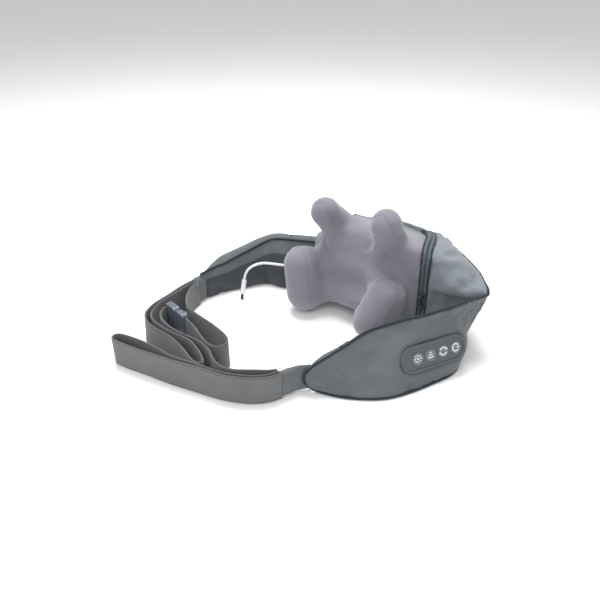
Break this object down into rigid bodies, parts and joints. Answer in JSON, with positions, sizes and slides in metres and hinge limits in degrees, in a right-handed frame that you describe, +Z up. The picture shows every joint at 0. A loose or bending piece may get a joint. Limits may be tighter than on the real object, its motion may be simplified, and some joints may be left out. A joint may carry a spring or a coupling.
{
  "type": "shiatsu neck massager",
  "caption": "Padded U-shaped neck massager with two kneading claws, a button panel on one wing, webbing hand loops and a short charge lead.",
  "frame": {"origin": "on the table under the middle of the drive housing, in the flat underside of the padded back", "axes": "+Z up, the claws reach towards -Y, the wing with the control panel is at +X"},
  "size_m": [0.3655, 0.3762, 0.159],
  "materials": {
    "collar_fabric": "matte knit",
    "lining_fabric": "matte knit",
    "stretch_fabric": "soft stretch jersey",
    "webbing": "woven",
    "zip_tape": "woven",
    "piping_cord": "corded edge",
    "stitch_thread": "polyester thread",
    "icon_print": "raised print",
    "slider_metal": "satin",
    "shell_plastic": "moulded texture",
    "gear_plastic": "natural acetal",
    "arm_plastic": "glass-filled nylon",
    "head_foam": "matte",
    "steel": "turned",
    "motor_steel": "rolled",
    "cell_wrap": "shrink wrap",
    "board": "solder mask",
    "panel_rubber": "matte",
    "button_rubber": "matte",
    "buckle_plastic": "moulded",
    "lead_white": "smooth",
    "jack_black": "smooth"
  },
  "bodies": {
    "collar": {"near_wing_pad": "collar_fabric", "far_wing_pad": "collar_fabric", "rear_cover": "collar_fabric", "palm_cover": "stretch_fabric", "zipper_tape": "zip_tape", "housing_front": "shell_plastic", "housing_rear": "shell_plastic", "housing_screws": "steel", "motor_can": "motor_steel", "motor_bracket": "shell_plastic", "battery_pack": "cell_wrap", "main_board": "board", "control_panel": "panel_rubber", "panel_back": "shell_plastic", "switch_board": "board", "near_loop_front": "webbing", "near_loop_back": "webbing", "far_loop_outer": "webbing", "far_loop_inner": "webbing", "chest_strap_near": "webbing", "chest_strap_far_front": "webbing", "chest_strap_far_back": "webbing", "near_strap_end": "collar_fabric", "far_strap_end": "collar_fabric", "buckle_socket": "buckle_plastic", "buckle_plug": "buckle_plastic", "charge_lead": "lead_white", "lead_gland": "lead_white", "jack_body": "lead_white", "jack_tip": "jack_black", "near_pivot_post": "steel", "near_wheel_axle": "steel", "far_pivot_post": "steel", "far_wheel_axle": "steel"},
    "near_claw": {"near_claw_arm": "arm_plastic", "near_upper_head": "head_foam", "near_lower_head": "head_foam", "near_claw_cover": "stretch_fabric"},
    "near_drive_wheel": {"near_worm_wheel": "gear_plastic", "near_crank_pin": "steel"},
    "far_claw": {"far_claw_arm": "arm_plastic", "far_upper_head": "head_foam", "far_lower_head": "head_foam", "far_claw_cover": "stretch_fabric"},
    "far_drive_wheel": {"far_worm_wheel": "gear_plastic", "far_crank_pin": "steel"},
    "rotor": {"motor_shaft": "steel", "worm": "steel"},
    "heat_button": {"heat_button": "button_rubber"},
    "speed_button": {"speed_button": "button_rubber"},
    "mode_button": {"mode_button": "button_rubber"},
    "power_button": {"power_button": "button_rubber"},
    "upper_slider": {"upper_zipper_slider": "slider_metal"},
    "upper_pull": {"upper_zipper_pull": "slider_metal"},
    "lower_slider": {"lower_zipper_slider": "slider_metal"},
    "lower_pull": {"lower_zipper_pull": "slider_metal"}
  },
  "joints": [
    {"name": "near_claw_knead", "type": "hinge", "parent": "collar", "child": "near_claw", "pos_m": [0.024, -0.012, 0.078], "axis": [0, 0, 1], "range_deg": [-8, 8]},
    {"name": "far_claw_knead", "type": "hinge", "parent": "collar", "child": "far_claw", "pos_m": [-0.024, -0.012, 0.078], "axis": [0, 0, 1], "range_deg": [-8, 8]},
    {"name": "near_wheel_spin", "type": "hinge", "parent": "collar", "child": "near_drive_wheel", "pos_m": [0.024, 0.018, 0.078], "axis": [0, 1, 0], "continuous": true},
    {"name": "far_wheel_spin", "type": "hinge", "parent": "collar", "child": "far_drive_wheel", "pos_m": [-0.024, 0.018, 0.078], "axis": [0, 1, 0], "continuous": true},
    {"name": "motor_spin", "type": "hinge", "parent": "collar", "child": "rotor", "pos_m": [0, 0.018, 0.078], "axis": [0, 0, 1], "continuous": true},
    {"name": "heat_press", "type": "slide", "parent": "collar", "child": "heat_button", "axis": [-0.87, 0.3796, -0.3146], "range_m": [0, 0.0008], "stiffness_N_per_m": 900},
    {"name": "speed_press", "type": "slide", "parent": "collar", "child": "speed_button", "axis": [-0.87, 0.3796, -0.3146], "range_m": [0, 0.0008], "stiffness_N_per_m": 900},
    {"name": "mode_press", "type": "slide", "parent": "collar", "child": "mode_button", "axis": [-0.87, 0.3796, -0.3146], "range_m": [0, 0.0008], "stiffness_N_per_m": 900},
    {"name": "power_press", "type": "slide", "parent": "collar", "child": "power_button", "axis": [-0.87, 0.3796, -0.3146], "range_m": [0, 0.0008], "stiffness_N_per_m": 900},
    {"name": "upper_zip_run", "type": "slide", "parent": "collar", "child": "upper_slider", "axis": [0, 0, 1], "range_m": [0, 0.044]},
    {"name": "upper_pull_swing", "type": "hinge", "parent": "upper_slider", "child": "upper_pull", "pos_m": [0.0978, -0.0361, 0.063], "axis": [-1, 0, 0], "range_deg": [0, 170]},
    {"name": "lower_zip_run", "type": "slide", "parent": "collar", "child": "lower_slider", "axis": [0, 0, 1], "range_m": [-0.024, 0]},
    {"name": "lower_pull_swing", "type": "hinge", "parent": "lower_slider", "child": "lower_pull", "pos_m": [0.0978, -0.0361, 0.0505], "axis": [-1, 0, 0], "range_deg": [0, 120]}
  ],
  "couplings": [
    {"joint": "far_claw_knead", "follows": "near_claw_knead", "ratio": -1},
    {"joint": "near_wheel_spin", "follows": "motor_spin", "ratio": 0.027778},
    {"joint": "far_wheel_spin", "follows": "motor_spin", "ratio": -0.027778}
  ]
}
